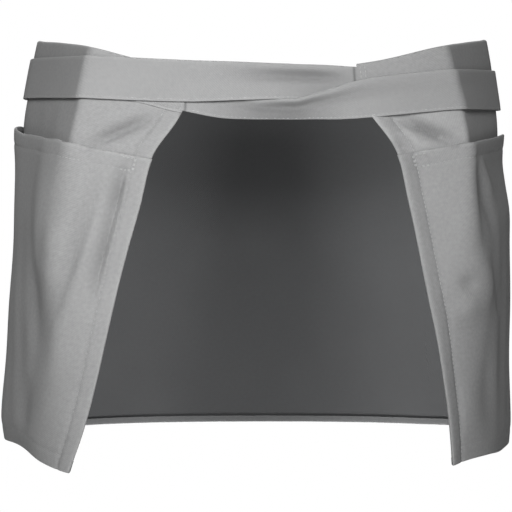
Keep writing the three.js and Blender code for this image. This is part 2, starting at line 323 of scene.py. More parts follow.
grey_thread = thread("grey_thread", (0.36, 0.365, 0.367), (0.56, 0.565, 0.565))
print("finish:", grey_thread.name)

# %% The floor's paper
PAPER_DARK = (0.80, 0.80, 0.80)
PAPER_LIGHT = (0.86, 0.86, 0.86)

paper, paper_tree, paper_finish = new_finish("floor_paper")
place = Socket(paper_tree).node("ShaderNodeTexCoord").output("Object")
paper_shade = between(noise(place, 3.0, 4.0), PAPER_DARK, PAPER_LIGHT)
feed(paper_tree, paper_finish, {"Base Color": paper_shade, "Roughness": 0.9})
floor.data.materials.append(paper)
print("floor:", paper.name)

# %% [markdown]
# ## The worn form
# A simulation could drop the cloth over a block, but a formula for its form keeps the edges exact. The form
# is a level outline at every height: a full curve round the front, a turn at the hip, a straight slanted
# facet, a rounded corner and the flat of the back. Short tables give its sizes in millimetres, from the top
# edge (`down` 0) to the bottom edge (`down` 1), and a smooth curve runs through each column. They are close
# to the sizes of the solids, with edges of their own on each side, sharper corners at the waist, where the
# band is stiff, and rounder ones at the bottom, where the cloth hangs free.

# %% The form's tables
WIDTHS = {
    "down": [0, 0.1, 0.22, 0.34, 0.5, 0.65, 0.8, 1],
    "hip_left": [171, 177, 182.8, 180, 178.4, 179, 182.5, 194.5],
    "hip_right": [171, 176, 180.4, 178.9, 177.8, 178.2, 180.2, 186.2],
    "back_left": [122, 128, 136, 139, 142, 145, 148, 152],
    "back_right": [131, 138, 146, 148, 150, 151, 152, 153],
}
DEPTHS = {
    "down": [0, 0.1, 0.2, 0.3, 0.5, 0.75, 1],
    "front": [118, 121, 125.2, 129, 136, 144, 150],
    "rear": [104, 105, 106, 106.1, 106, 105, 104],
    "round_left": [2.5, 2.5, 3, 12, 20, 32, 40],
    "round_right": [2.5, 2.5, 3, 4, 18, 48, 60],
}
EDGE_HEIGHTS = {
    "way": [0, 0.12, 0.17, 0.2, 0.255, 0.3, 0.345, 0.39, 0.45, 0.49, 0.6, 0.75, 1],
    "top_left": [-22, -17, -11, -7.6, -0.8, 3, 6.1, 9.1, 12.6, 15, 13, 8, 3],
    "top_right": [-22, -14, -10.4, -7.4, -1, 2.8, 5.9, 9.1, 13.1, 15.6, 13, 8, 3],
    "bottom_left": [
        -306, -306, -305.9, -305.5, -304.6, -299.2, -293,
        -290, -289.4, -289.2, -289.4, -290, -290,
    ],
    "bottom_right": [
        -301, -301, -300.8, -300.5, -299.4, -295.8, -294.6,
        -295, -292.4, -291, -287.8, -289.6, -290,
    ],
}
REAR_EDGES = {
    "down": [0, 0.1, 0.224, 0.35, 0.5, 0.65, 0.8, 0.9, 1],
    "left": [54, 57.5, 78.6, 88, 99.9, 110.4, 120.4, 128.4, 139],
    "right": [67, 72.5, 95.2, 104.4, 113.4, 121.8, 128.9, 133.2, 136],
}


def smooth(table, place, column, level_ends=False):
    """A smooth curve through one column of a table."""
    x = np.array(table[place], float)
    y = np.array(table[column], float)
    slope = np.gradient(y, x)
    slope[1:-1] = (y[2:] - y[:-2]) / (x[2:] - x[:-2])
    if level_ends:
        slope[[0, -1]] = 0

    def at(q):
        q = np.clip(q, x[0], x[-1])
        i = np.clip(np.searchsorted(x, q, side="right") - 1, 0, len(x) - 2)
        step = x[i + 1] - x[i]
        t = (q - x[i]) / step
        ends = (2 * t**3 - 3 * t**2 + 1) * y[i] + (3 * t**2 - 2 * t**3) * y[i + 1]
        return ends + step * ((t**3 - 2 * t**2 + t) * slope[i] + (t**3 - t**2) * slope[i + 1])

    return at


def each(curves, side, q):
    """Reads the curve of the left (-1) or the right (1) side."""
    return np.where(side < 0, curves[-1](q), curves[1](q))


def by_side(pair, side):
    """The value of the left (-1) or the right (1) side."""
    return np.where(side < 0, pair[-1], pair[1])


def both_sides(table, place, column="", level_ends=False):
    """The smooth curves of the left and the right side."""
    return {side: smooth(table, place, column + word, level_ends) for side, word in SIDES.items()}


front_depth = smooth(DEPTHS, "down", "front")
rear_depth = smooth(DEPTHS, "down", "rear")
hip = both_sides(WIDTHS, "down", "hip_")
back = both_sides(WIDTHS, "down", "back_")
corner_round = both_sides(DEPTHS, "down", "round_")
top_height = both_sides(EDGE_HEIGHTS, "way", "top_", level_ends=True)
bottom_height = both_sides(EDGE_HEIGHTS, "way", "bottom_", level_ends=True)
rear_edge = both_sides(REAR_EDGES, "down")
print("top edge at the hips, mm:", top_height[-1](0.49), top_height[1](0.49))

# %% Trace the outlines
FRONT_FULLNESS = 0.68
HIP_TURN = 10.0
APRON_DROP = 303.0
LEVELS = np.linspace(0, 1, 81)
WAYS = np.linspace(0, 1, 1001)


def bezier(points, steps=160):
    """Points along a curve with two or three control legs."""
    t = np.linspace(0, 1, steps)[:, None]
    points = [np.array(p, float) for p in points]
    while len(points) > 1:
        points = [a + (b - a) * t for a, b in zip(points, points[1:])]
    return points[0]


def run_along(points):
    """The distance along a row of points, from its start."""
    return np.concatenate([[0], np.cumsum(np.linalg.norm(np.diff(points, axis=0), axis=1))])


def read_row(points, run, q):
    """Reads a row of points at other distances along it."""
    return np.column_stack([np.interp(q, run, axis) for axis in points.T])


def unit(vectors):
    """Vectors of the same directions and length 1."""
    return vectors / np.linalg.norm(vectors, axis=-1, keepdims=True)


def half_outline(side, down):
    """The form's level outline on one side, from the back centre to the front centre, evenly spaced."""
    wide = hip[side](down)
    deep = front_depth(down)
    shoulder = np.array([wide, -HIP_TURN])
    corner = np.array([back[side](down), -rear_depth(down)])
    facet = unit(corner - shoulder)
    bend = corner_round[side](down)
    path = np.vstack([
        bezier([(0, deep), (FRONT_FULLNESS * wide, deep), (wide, FRONT_FULLNESS * deep), (wide, 0)]),
        bezier([(wide, 0), shoulder, shoulder + facet * HIP_TURN])[1:],
        bezier([corner - facet * bend, corner, corner - np.array([bend, 0])]),
        [[0, corner[1]]],
    ])[::-1]
    run = run_along(path)
    return read_row(path, run, WAYS * run[-1]), run[-1]


form_at, form_out, half_girth = {}, {}, {}
for side in SIDES:
    traced = [half_outline(side, down) for down in LEVELS]
    form_at[side] = np.array([even for even, girth in traced])
    lean = unit(np.gradient(form_at[side], axis=1))
    form_out[side] = np.stack([lean[..., 1], -lean[..., 0]], axis=2)
    girths = np.array([girth for even, girth in traced])
    half_girth[side] = partial(np.interp, xp=LEVELS, fp=girths)
print("girth at the waist, mm:", round(half_girth[-1](0) + half_girth[1](0), 1))


# %% Find a place on the form
def blend_cells(cells, way, down):
    """Reads a table of outlines between its lines."""
    i = np.clip(down, 0, 1) * (len(LEVELS) - 1)
    j = np.clip(way, 0, 1) * (len(WAYS) - 1)
    low_i = np.minimum(i.astype(int), len(LEVELS) - 2)
    low_j = np.minimum(j.astype(int), len(WAYS) - 2)
    s = (i - low_i)[..., None]
    t = (j - low_j)[..., None]
    upper = cells[low_i, low_j] * (1 - t) + cells[low_i, low_j + 1] * t
    lower = cells[low_i + 1, low_j] * (1 - t) + cells[low_i + 1, low_j + 1] * t
    return upper * (1 - s) + lower * s


def worn(side, way, height, lift):
    """Points in millimetres at a way round the form, a height and a lift off it; side is -1 or 1."""
    out = np.empty(np.broadcast(side, way, height, lift).shape + (3,))
    side, way, height, lift = np.broadcast_arrays(side, way, height, lift)
    for half in SIDES:
        here = side == half
        top = top_height[half](way[here])
        down = (top - height[here]) / (top - bottom_height[half](way[here]))
        flat = blend_cells(form_at[half], way[here], down)
        flat = flat + blend_cells(form_out[half], way[here], down) * lift[here][:, None]
        out[here] = np.column_stack([half * flat[:, 0], flat[:, 1], height[here]])
    return out


def lerp(a, b, t):
    """The value at a share t of the step from a to b."""
    return a + (b - a) * t


def round_way(side, share, down):
    """The way at a share of the distance from the front centre to the rear edge."""
    return lerp(1, each(rear_edge, side, down) / each(half_girth, side, down), share)


def ease(q, start, end):
    """Rises smoothly from 0 at start to 1 at end."""
    t = np.clip((q - start) / (end - start), 0, 1)
    return t * t * (3 - 2 * t)


def ridge(q, centre, width):
    """A smooth bump of height 1."""
    return np.exp(-(((q - centre) / width) ** 2))


probe = worn(np.array([1]), np.array([0.49]), np.array([-150.0]), np.array([0.0]))
print("right hip at mid height, mm:", probe.round(1).tolist())

# %% [markdown]
# ## Sheets with turned hems
# A cut edge of cloth is turned in and sewn down, which makes a hem round and thick. Every sheet here is a
# grid whose lines are laid out in millimetres of cloth, including the part that is turned in. A formula
# bends each line round the edge, so the hem is the same continuous cloth, and a Solidify modifier gives it
# its thickness. The inner shell takes the second material, the reverse of the twill, which is painted much
# darker than the face as painted shade. Turned-in parts that show inside take a third material, a darker copy
# of the face, also as painted shade.

# %% Turn an edge and lay a grid
CLOTH = 0.8
HEM_BEND = 0.65
SEAM_LINES = np.array([-2.6, -1.4, -0.6, 0, 0.6, 1.4, 2.6])


def turned(run, edge, bend=HEM_BEND):
    """Where cloth lies once it is turned in at an edge: its distance along the face and its depth behind."""
    past = run - edge
    angle = np.clip(past / bend, 0, math.pi)
    along = np.where(past > 0, edge + bend * np.sin(angle) - np.maximum(past - math.pi * bend, 0), run)
    return along, bend * (1 - np.cos(angle))


def turn_lines(turn_in):
    """Grid lines past an edge, round its bend and over the part that is turned in."""
    if not turn_in:
        return np.empty(0)
    half_turn = math.pi * HEM_BEND
    return np.concatenate([np.linspace(0, half_turn, 5)[1:], half_turn + np.linspace(0, turn_in, 5)[1:]])


def lines(start, end, step, turn_in=(0, 0), seams=()):
    """Grid lines over a width of cloth, closer together at its seams and where an end is turned in."""
    spread = np.linspace(start, end, max(2, round((end - start) / step)) + 1)
    for seam in seams:
        clear = np.abs(spread - seam) > SEAM_LINES[-1] + 0.3 * step
        spread = np.sort(np.concatenate([spread[clear], seam + SEAM_LINES]))
    return np.concatenate([start - turn_lines(turn_in[0])[::-1], spread, end + turn_lines(turn_in[1])])


def select_only(*pieces):
    """Selects these pieces and makes the last one active."""
    bpy.ops.object.select_all(action="DESELECT")
    for piece in pieces:
        piece.select_set(True)
        bpy.context.view_layer.objects.active = piece


def cloth_grid(name, columns, rows, place, hem=None):
    """A grid of cloth; place(column, row) gives points in millimetres and their wear and painted shading.

    hem(column, row) tells which faces are turned in and show inside; these take a darker twill as painted
    shade.
    """
    bpy.ops.mesh.primitive_grid_add(x_subdivisions=len(columns) - 1, y_subdivisions=len(rows) - 1, size=2)
    sheet = bpy.context.active_object
    sheet.name = name
    mesh = sheet.data
    mesh.name = name
    flat = np.empty(len(mesh.vertices) * 3)
    mesh.vertices.foreach_get("co", flat)
    flat = flat.reshape(-1, 3)
    i = np.rint((flat[:, 0] + 1) / 2 * (len(columns) - 1)).astype(int)
    j = np.rint((flat[:, 1] + 1) / 2 * (len(rows) - 1)).astype(int)
    points, wear_and_shading = place(columns[i], rows[j])
    mesh.vertices.foreach_set("co", (points * MM).ravel())
    corner = np.empty(len(mesh.loops), int)
    mesh.loops.foreach_get("vertex_index", corner)
    mesh.uv_layers[0].name = "cloth"
    uv = np.column_stack([columns[i], -rows[j]])[corner] * MM
    mesh.uv_layers["cloth"].data.foreach_set("uv", uv.ravel())
    mesh.attributes.new("wear_and_shading", "FLOAT", "POINT").data.foreach_set("value", wear_and_shading)
    if hem:
        middle = uv.reshape(-1, 4, 2).mean(axis=1) / MM
        mesh.polygons.foreach_set("material_index", 2 * hem(middle[:, 0], -middle[:, 1]).astype(np.int32))
    mesh.update()
    return sheet


def thicken(sheet, thickness=CLOTH):
    """Gives a sheet its two faces, with the reverse of the twill inside; the inside finishes are painted dark
    as painted shade.
    """
    for finish in (twill_face, twill_reverse_shade, twill_turned_shade):
        sheet.data.materials.append(finish)
    select_only(sheet)
    solid = sheet.modifiers.new("thickness", "SOLIDIFY")
    solid.thickness = thickness * MM
    solid.offset = 0
    solid.use_even_offset = False
    solid.material_offset = 1
    bpy.ops.object.modifier_apply(modifier="thickness")
    bpy.ops.object.shade_smooth_by_angle(angle=math.radians(60))
    print(f"{sheet.name}: {len(sheet.data.polygons)} faces")
    return sheet


print("cloth, mm:", CLOTH, "hem bend, mm:", HEM_BEND)

# %% [markdown]
# ## Soft folds
# Cloth that is pulled from a seam shows drag folds, and hems pucker a little along their stitches. A cloth
# simulation could find folds of its own, but these have to lie where the real ones do, so each is a short
# soft furrow or ridge between two points, given by the distance from the back centre and the height. Where
# `sharp` is below 1, the side towards the back centre is that much steeper.

# %% The folds' tables
DRAPE_DEPTH = 0.4
HIP_START = (150, 175)
HIP_END = (215, 235)
FOLD_COLUMNS = ("side", "reach", "height", "to_reach", "to_height", "width", "depth", "sharp")
FOLDS = {
    "left drag furrow": (-1, 76, -50, 124, -72, 5.2, -6.2, 0.6),
    "left drag ridge": (-1, 72, -61, 106, -80, 7, 2.2, 1),
    "left upper ridge": (-1, 96, -46, 124, -58, 7, 1.6, 1),
    "right drag furrow": (1, 96, -52, 138, -70, 5.0, -8.5, 0.55),
    "right drag ridge": (1, 93, -60, 128, -79, 7, 2.2, 1),
    "right upper ridge": (1, 120, -47, 140, -57, 7, 1.6, 1),
    "left tack furrow": (-1, 94, -84, 102.5, -121, 8, -5.8, 0.3),
    "left tack furrow, lower": (-1, 101, -110, 117, -184, 8, -6.4, 0.35),
    "left facet bulge": (-1, 164, -56, 163, -172, 20, 4.2, 1),
    "left side furrow": (-1, 117, -100, 146, -192, 10, -4.0, 0.4),
    "left side ridge": (-1, 143, -126, 147, -158, 8, 2.4, 1),
    "left knee furrow": (-1, 182, -152, 158, -232, 20, -4.0, 1),
    "left knee ridge": (-1, 152, -150, 143, -182, 10, 1.6, 1),
    "left shin ridge": (-1, 143, -188, 150, -250, 10, 2.2, 1),
    "left outer ridge": (-1, 186, -188, 172, -226, 12, 1.2, 1),
    "left low furrow": (-1, 180, -236, 194, -284, 12, -2.2, 1),
    "right hem furrow": (1, 95, -64, 104.5, -78, 5, -4.5, 1),
    "right corner furrow": (1, 156, -84, 159, -146, 14, -3.2, 0.5),
    "right shelf": (1, 128, -195, 168, -182, 9, 2.0, 1),
    "right mouth ridge": (1, 164, -80, 190, -104, 7, 2.2, 1),
    "right mouth furrow": (1, 160, -92, 182, -136, 9, -2.4, 1),
    "right dimple": (1, 141, -174, 150, -163, 6, -2.2, 1),
    "right dimple ridge": (1, 138, -190, 151, -180, 7, 1.4, 1),
    "right bulge": (1, 148, -146, 174, -182, 11, 2.8, 1),
    "right side furrow": (1, 186, -174, 195, -193, 7, -1.6, 1),
    "right low ridge": (1, 146, -236, 152, -278, 9, 1.4, 1),
    "right low furrow": (1, 166, -224, 180, -280, 11, -2.2, 1),
}


def folds(side, reach, height):
    """The lift that the drag folds add, by distance from the back centre and height, in millimetres."""
    lift = np.zeros(np.broadcast(reach, height).shape)
    for half, r0, z0, r1, z1, width, depth, sharp in FOLDS.values():
        run = math.hypot(r1 - r0, z1 - z0)
        t = np.clip(((reach - r0) * (r1 - r0) + (height - z0) * (z1 - z0)) / run**2, 0, 1)
        off = np.hypot(reach - lerp(r0, r1, t), height - lerp(z0, z1, t))
        rearward = (r1 - r0) * (height - z0) < (z1 - z0) * (reach - r0)
        off = off / np.where(rearward, width * sharp, width)
        lift += (side == half) * depth * np.exp(-(off**2)) * (0.2 + 0.8 * np.sin(math.pi * t))
    return lift


def drape(reach, height):
    """Slow upright waves where the cloth turns round the hip."""
    wave = np.sin(reach / 4.8 + 1.4 * np.sin(height / 60)) * (0.6 + 0.4 * np.sin(height / 37 + 1))
    return DRAPE_DEPTH * wave * ease(reach, *HIP_START) * (1 - ease(reach, *HIP_END))


def unevenness(u, v, coarse):
    """A slow wander of about 1, the same on every run."""
    a = np.sin(u / coarse + 1.3 * np.sin(v / coarse * 0.7 + 0.4))
    b = np.sin(v / coarse * 0.9 + 1.7 + 1.1 * np.sin(u / coarse * 0.6 + 2.1))
    c = np.sin((u + v) / coarse * 1.7 + 0.9) * 0.5
    return (a + b + c) / 2.2


def pucker(run, off, spread, pitch):
    """The fine waves that stitching draws into a hem, along the run, at a distance off the stitches."""
    wave = np.sin(2 * math.pi * run / pitch + 1.6 * np.sin(run / 23)) * (0.6 + 0.4 * np.sin(run / 15 + 0.7))
    wave += 0.7 * np.sin(2 * math.pi * run / (pitch * 2.3) + 1.2 * np.sin(run / 31))
    return wave * np.exp(-((off / spread) ** 2))


def sewn_line(run, off, sink, width, waves=0.0, spread=6, pitch=8.5, held=1.0):
    """The lift beside a row of stitches: a narrow valley, and fine waves on both sides of it."""
    return waves * pucker(run, off, spread, pitch) - sink * ridge(off, 0, width) * held


print("folds:", len(FOLDS), "of", FOLD_COLUMNS)

# %% [markdown]
# ## The panel
# The panel is one rectangle of twill. Its top edge is tucked into the waistband, and its two rear edges and
# its bottom edge are turned in. It could be modelled as a front and two sides, but one grid from the left
# rear edge round the front to the right rear edge needs no joins, and its thread lines lean with the edges.

# %% Cut the panel
PANEL_HALF = 415.0
PANEL_TOP = 25.5
BAND_DROP = 30.0
SIDE_HEM = 10.0
BOTTOM_HEM = 4.4
SIDE_STITCH = 11.5
EDGE_CURL = {-1: 1.0, 1: 4.5}
# The weights below paint shade into furrows, onto the rear hem strips and along stitch lines, and paint light
# onto the right back of the panel.
FOLD_SHADE = 0.28
HEM_SHADE = {-1: 0.1, 1: 0.9}
PANEL_PAINTED_LIGHT = {-1: 0.0, 1: 1.1}
POCKET_DOWN = {-1: 0.232, 1: 0.2375}
RUB_WIDTH = 1.4
SEAM_SHADE = 0.7
PANEL_SEAM = {"sink": 0.6, "width": 1.5, "waves": 0.18, "spread": 5}
BOTTOM_SEAM = {"sink": 0, "width": 1, "waves": 0.18, "spread": 4, "pitch": 9.5}
FOLD_START = (12, 17)
FLAT_WAY = 0.70
WANDER_DEPTH = 0.7
WANDER_LENGTH = 46


def both(depth, other):
    """Depth of cloth that is turned in twice at a corner."""
    return np.maximum(depth, other) + 0.25 * np.minimum(depth, other)


def curl(side, from_edge):
    """The rear edges bend outwards a little, up to their stitches."""
    return by_side(EDGE_CURL, side) * np.clip(1 - from_edge / SIDE_STITCH, 0, 1)


def fold_and_hem_shade(side, from_edge, pull):
    """Painted shade: furrows and the hem strips of the rear edges are coloured darker."""
    hem = ease(from_edge, 2, 5) * (1 - ease(from_edge, SIDE_STITCH - 2, SIDE_STITCH + 1))
    return FOLD_SHADE * np.minimum(pull, 0) - by_side(HEM_SHADE, side) * hem


def panel_place(column, row):
    """Points of the panel and their wear."""
    side = np.where(column < 0, -1, 1)
    along, side_depth = turned(np.abs(column), PANEL_HALF - HEM_BEND)
    low, bottom_depth = turned(row, APRON_DROP - HEM_BEND)
    down = low / APRON_DROP
    way = round_way(side, along / PANEL_HALF, down)
    reach = way * each(half_girth, side, down)
    height = lerp(each(top_height, side, way), each(bottom_height, side, way), down)
    from_edge = PANEL_HALF - along
    below_band = ease(low, BAND_DROP, BAND_DROP + 12)
    mouth = by_side(POCKET_DOWN, side)
    bare = below_band * (1 - ease(down, mouth - 0.03, mouth + 0.05))
    pull = folds(side, reach, height)
    lift = pull * bare + np.minimum(pull, 0) * (1 - bare) * ease(from_edge, *FOLD_START)
    lift += 0.6 * drape(reach, height) * bare + curl(side, from_edge) * below_band
    wander = WANDER_DEPTH * unevenness(along * side, low, WANDER_LENGTH)
    lift += wander * below_band * ease(way, FLAT_WAY, 0.85)
    off = from_edge - SIDE_STITCH
    lift += bare * sewn_line(low, off, **PANEL_SEAM)
    lift += sewn_line(along, APRON_DROP - low - BOTTOM_HEM, **BOTTOM_SEAM) * ease(way, FLAT_WAY, 0.78)
    lift -= both(side_depth * ease(low, BAND_DROP - 3, BAND_DROP + 3), bottom_depth)
    wear_and_shading = np.maximum(ridge(from_edge, 0, RUB_WIDTH) * below_band, ridge(low, APRON_DROP, RUB_WIDTH))
    # Painted light on the right back of the panel, and painted shade along the side stitches.
    wear_and_shading += bare * (by_side(PANEL_PAINTED_LIGHT, side) * (way < 0.5) - SEAM_SHADE * ridge(off, 0, PANEL_SEAM["width"]))
    return worn(side, way, height, lift), wear_and_shading + fold_and_hem_shade(side, from_edge, pull * bare)


panel_seams = (SIDE_STITCH - PANEL_HALF, PANEL_HALF - SIDE_STITCH)
panel_columns = lines(-PANEL_HALF + HEM_BEND, PANEL_HALF - HEM_BEND, 2.6, (SIDE_HEM, SIDE_HEM), panel_seams)
panel_rows = lines(PANEL_TOP, APRON_DROP - HEM_BEND, 2.8, (0, BOTTOM_HEM))
apron_panel = thicken(cloth_grid(
    "apron_panel_cloth", panel_columns, panel_rows, panel_place,
    lambda column, row: (np.abs(column) > PANEL_HALF + 1) | (row > APRON_DROP + 1),
))

# %% [markdown]
# ## The pockets
# Each patch pocket starts at a plain seam on the front, goes round the hip and ends at the rear edge of the
# panel. Its mouth, seam, rear edge and bottom are all turned in. It could be pushed out of the panel's own
# grid, but a sheet of its own has a real mouth and a real inside. It stands off the panel most in the middle,
# so the mouth opens a little at the hip.

# %% Cut the pockets
FRONT_PART = 0.7
POCKET_SEAM_WAY = 1 - 7 * FRONT_PART / 18  # column 7 of the solid's 18 columns over its front part
POCKET_WIDTH = 285.0
POCKET_DROP = 231.0
MOUTH_HEM = 10.5
POCKET_BASE = 2.1
POCKET_LEAST = 1.35
POCKET_FULLNESS = {
    "low": [0, 0.08, 0.15, 0.25, 0.35, 0.55, 0.75, 0.92, 1],
    "left": [4.6, 5.6, 7.2, 9.2, 10.4, 12.6, 11.2, 7, 1],
    "right": [3.0, 2.4, 5.0, 9.4, 10.0, 10.2, 7.6, 4.2, 1],
}
HEM_LINE = 11.0
FRONT_STITCH = 4.5
REAR_OVERHANG = 0.8
LIP_RISE = {-1: 7.0, 1: 1.0}
LIP_BUMP = {-1: 1.8, 1: 0.0}
SIDE_SEAM = {"sink": 0.6, "width": 1.6, "waves": 0.18}
MOUTH_SEAM = {"sink": 0.35, "width": 1.4, "waves": 0.10, "spread": 5, "pitch": 9.2}
HEM_SEAM = {"sink": 0.20, "width": 1.5, "waves": 0.10, "spread": 6, "pitch": 9.8}
FRONT_SEAM = {"sink": 0.4, "width": 1.5}
POCKET_WANDER = 0.9
POCKET_WANDER_LENGTH = 34
SEAM_CLEAR = (6, 30)
HEM_CLEAR = (6, 22)
# Painted shade: the turned hem inside the pocket's mouth is coloured dark.
MOUTH_SHADE = 6
INNER_HEM = 8
fullness = both_sides(POCKET_FULLNESS, "low")


def turned_both(run, length):
    """The same as turned, at both ends of a length."""
    far, far_depth = turned(run, length - HEM_BEND)
    near, near_depth = turned(length - run, length - HEM_BEND)
    return np.where(run < length / 2, length - near, far), far_depth + near_depth


def pocket_pull(side, share, low, reach, height):
    """The folds of the pocket, which end at its seams."""
    inside = ease((1 - share) * POCKET_WIDTH, *FOLD_START) * ease(share * POCKET_WIDTH, *SEAM_CLEAR)
    return folds(side, reach, height) * inside * ease((1 - low) * POCKET_DROP, *HEM_CLEAR)


def pocket_lift(side, share, low, reach, height):
    """How far the pocket's outer layer stands off the form."""
    from_edge = (1 - share) * POCKET_WIDTH
    from_seam = share * POCKET_WIDTH
    above_hem = (1 - low) * POCKET_DROP
    below_lip = low * POCKET_DROP
    inside = ease(from_edge, 12, 30) * ease(from_seam, *SEAM_CLEAR) * ease(above_hem, *HEM_CLEAR)
    pull = pocket_pull(side, share, low, reach, height)
    lift = POCKET_BASE + fullness[side](low) * np.sin(math.pi * np.clip(share, 0, 1)) + pull
    lift += POCKET_WANDER * unevenness(from_seam * side, below_lip, POCKET_WANDER_LENGTH) * inside
    lift += drape(reach, height) * inside + curl(side, from_edge)
    held = ease(from_edge, 6, 10)
    lift += sewn_line(below_lip, from_edge - SIDE_STITCH, **SIDE_SEAM)
    lift += sewn_line(from_seam, below_lip - MOUTH_HEM, held=held, **MOUTH_SEAM)
    lift += sewn_line(from_seam, above_hem - HEM_LINE, held=held, **HEM_SEAM)
    lift += sewn_line(below_lip, from_seam - FRONT_STITCH, **FRONT_SEAM)
    return np.maximum(lift, POCKET_LEAST + np.minimum(pull, 0))


def pocket_course(side, share, low):
    """Way, reach and height of a point, by its shares from seam to edge and from mouth to hem."""
    down = lerp(POCKET_DOWN[side], 1, low)
    girth = half_girth[side](down)
    way = lerp(POCKET_SEAM_WAY, (rear_edge[side](down) - REAR_OVERHANG) / girth, share)
    height = lerp(top_height[side](way), bottom_height[side](way), down)
    lip = LIP_RISE[side] * ease(way, 0.42, 0.54) + LIP_BUMP[side] * ridge(way, 0.29, 0.025)
    return way, way * girth, height + (1 - low) ** 3 * lip


def on_pocket(side, share, low, lift=0.0):
    """A point of a pocket."""
    way, reach, height = pocket_course(side, share, low)
    return worn(side, way, height, pocket_lift(side, share, low, reach, height) + lift)


def pocket_place(side, column, row):
    """Points of a pocket and their wear."""
    along, side_depth = turned_both(column * side, POCKET_WIDTH)
    low, end_depth = turned_both(row, POCKET_DROP)
    share = along / POCKET_WIDTH
    from_edge = POCKET_WIDTH - along
    rubbed = np.minimum(from_edge, np.minimum(low, POCKET_DROP - low))
    # Paler rubbed edges are wear; the dark line along the side stitches is painted shade.
    wear_and_shading = ridge(rubbed, 0, RUB_WIDTH) - SEAM_SHADE * ridge(from_edge, SIDE_STITCH, 1.2)
    low = low / POCKET_DROP
    pull = pocket_pull(side, share, low, *pocket_course(side, share, low)[1:])
    # Painted shade: the turned hem inside the mouth, the furrows and the hem strips are coloured darker.
    shaded = ease(end_depth, 0.7, 1.2) * (low < 0.2)
    wear_and_shading += fold_and_hem_shade(side, from_edge, pull) - MOUTH_SHADE * shaded
    return on_pocket(side, share, low, -both(side_depth, end_depth)), wear_and_shading


pocket_rows = lines(
    HEM_BEND, POCKET_DROP - HEM_BEND, 2.2, (MOUTH_HEM, INNER_HEM), (MOUTH_HEM, POCKET_DROP - HEM_LINE),
)
pocket_columns = lines(
    HEM_BEND, POCKET_WIDTH - HEM_BEND, 2.2, (INNER_HEM, INNER_HEM),
    POCKET_WIDTH - np.array([SIDE_STITCH, 18, 24]),
)
pockets = {}
for side, word in SIDES.items():
    columns = pocket_columns if side > 0 else -pocket_columns[::-1]
    place = partial(pocket_place, side)
    pockets[side] = thicken(cloth_grid(f"pocket_{word}_cloth", columns, pocket_rows, place))

# %% [markdown]
# ## The waistband
# The band is a strip folded lengthwise over the panel's top edge, with both of its long edges turned in
# between the leaves. Two separate leaves would leave the top open, so its profile is drawn once, as a short
# path of drops and lifts over the fold, and follows the top edge from one free rear end to the other.

# %% Fold the waistband
LEAF_LIFT = 1.25
TURNED_LIFT = 0.7
BAND_CLOTH = 0.5
BAND_LOW = BAND_DROP - 2.4
BAND_SEAM = {"sink": 0.2, "width": 1.3, "waves": 0.1, "spread": 4}
BAND_PUFF = 0.28
BAND_WANDER = 0.16


def band_profile():
    """Drops and lifts across the folded strip, from one turned edge over the top to the other."""
    small = (LEAF_LIFT - TURNED_LIFT) / 2
    arc = np.linspace(0, math.pi, 7)
    leaf = np.linspace(BAND_DROP - small, LEAF_LIFT, 13)
    top = np.linspace(0, math.pi / 2, 5)
    drop = np.concatenate([
        [23.0, 26.0], BAND_DROP - small + small * np.sin(arc),
        leaf[1:-1], LEAF_LIFT - LEAF_LIFT * np.sin(top),
    ])
    lift = np.concatenate([
        np.full(2, TURNED_LIFT), LEAF_LIFT - small - small * np.cos(arc),
        np.full(len(leaf) - 2, LEAF_LIFT), LEAF_LIFT * np.cos(top),
    ])
    return np.concatenate([drop, drop[-2::-1]]), np.concatenate([lift, -lift[-2::-1]])


band_drop, band_lift = band_profile()
band_run = run_along(np.column_stack([band_drop, band_lift]))


def band_point(column, drop, lift):
    """A point of the band, by its place along the apron, its drop from the top edge and its lift."""
    side = np.where(column < 0, -1, 1)
    way = round_way(side, np.abs(column) / PANEL_HALF, drop / APRON_DROP)
    return worn(side, way, each(top_height, side, way) - drop, lift)


def band_place(column, row):
    """Points of the band and their wear."""
    drop = np.interp(row, band_run, band_drop)
    lift = np.interp(row, band_run, band_lift)
    outer = np.sign(lift) * ease(np.abs(lift), TURNED_LIFT, LEAF_LIFT)
    puff = BAND_PUFF * np.sin(math.pi * np.clip(drop / BAND_DROP, 0, 1))
    puff += BAND_WANDER * unevenness(column, drop * 3, 21)
    puff += sewn_line(np.abs(column), drop - BAND_LOW, **BAND_SEAM)
    puff -= 0.15 * ridge(column, PANEL_HALF - 3.6, 2.2)
    wear_and_shading = np.maximum(ridge(drop, 0, 1.2), ridge(drop, BAND_DROP, 1.0))
    # Painted shade: a dark line along the band's stitches.
    wear_and_shading -= 0.3 * ridge(drop, BAND_LOW, BAND_SEAM["width"])
    return band_point(column, drop, lift + outer * puff), wear_and_shading


band_columns = lines(-PANEL_HALF, PANEL_HALF, 3.0)
waistband = thicken(cloth_grid("waistband_cloth", band_columns, band_run[::-1], band_place), BAND_CLOTH)

# %% [markdown]
# ## The ties
# A tie is a narrow strip folded double and stitched along its open edge, so in section it is a flat loop
# with a round fold at each edge. Each one starts inside the band's end, crosses the back, goes round the
# hip over the band and narrows where it is drawn into the knot. A ribbon along a curve would keep one section
# all the way, so a table follows the tie by its distance from the back centre: the height of its middle, its
# width, the lift of its upper and lower edges, the depth of the soft lengthwise fold that the pull puts in it
# near the crossing, and its thickness.

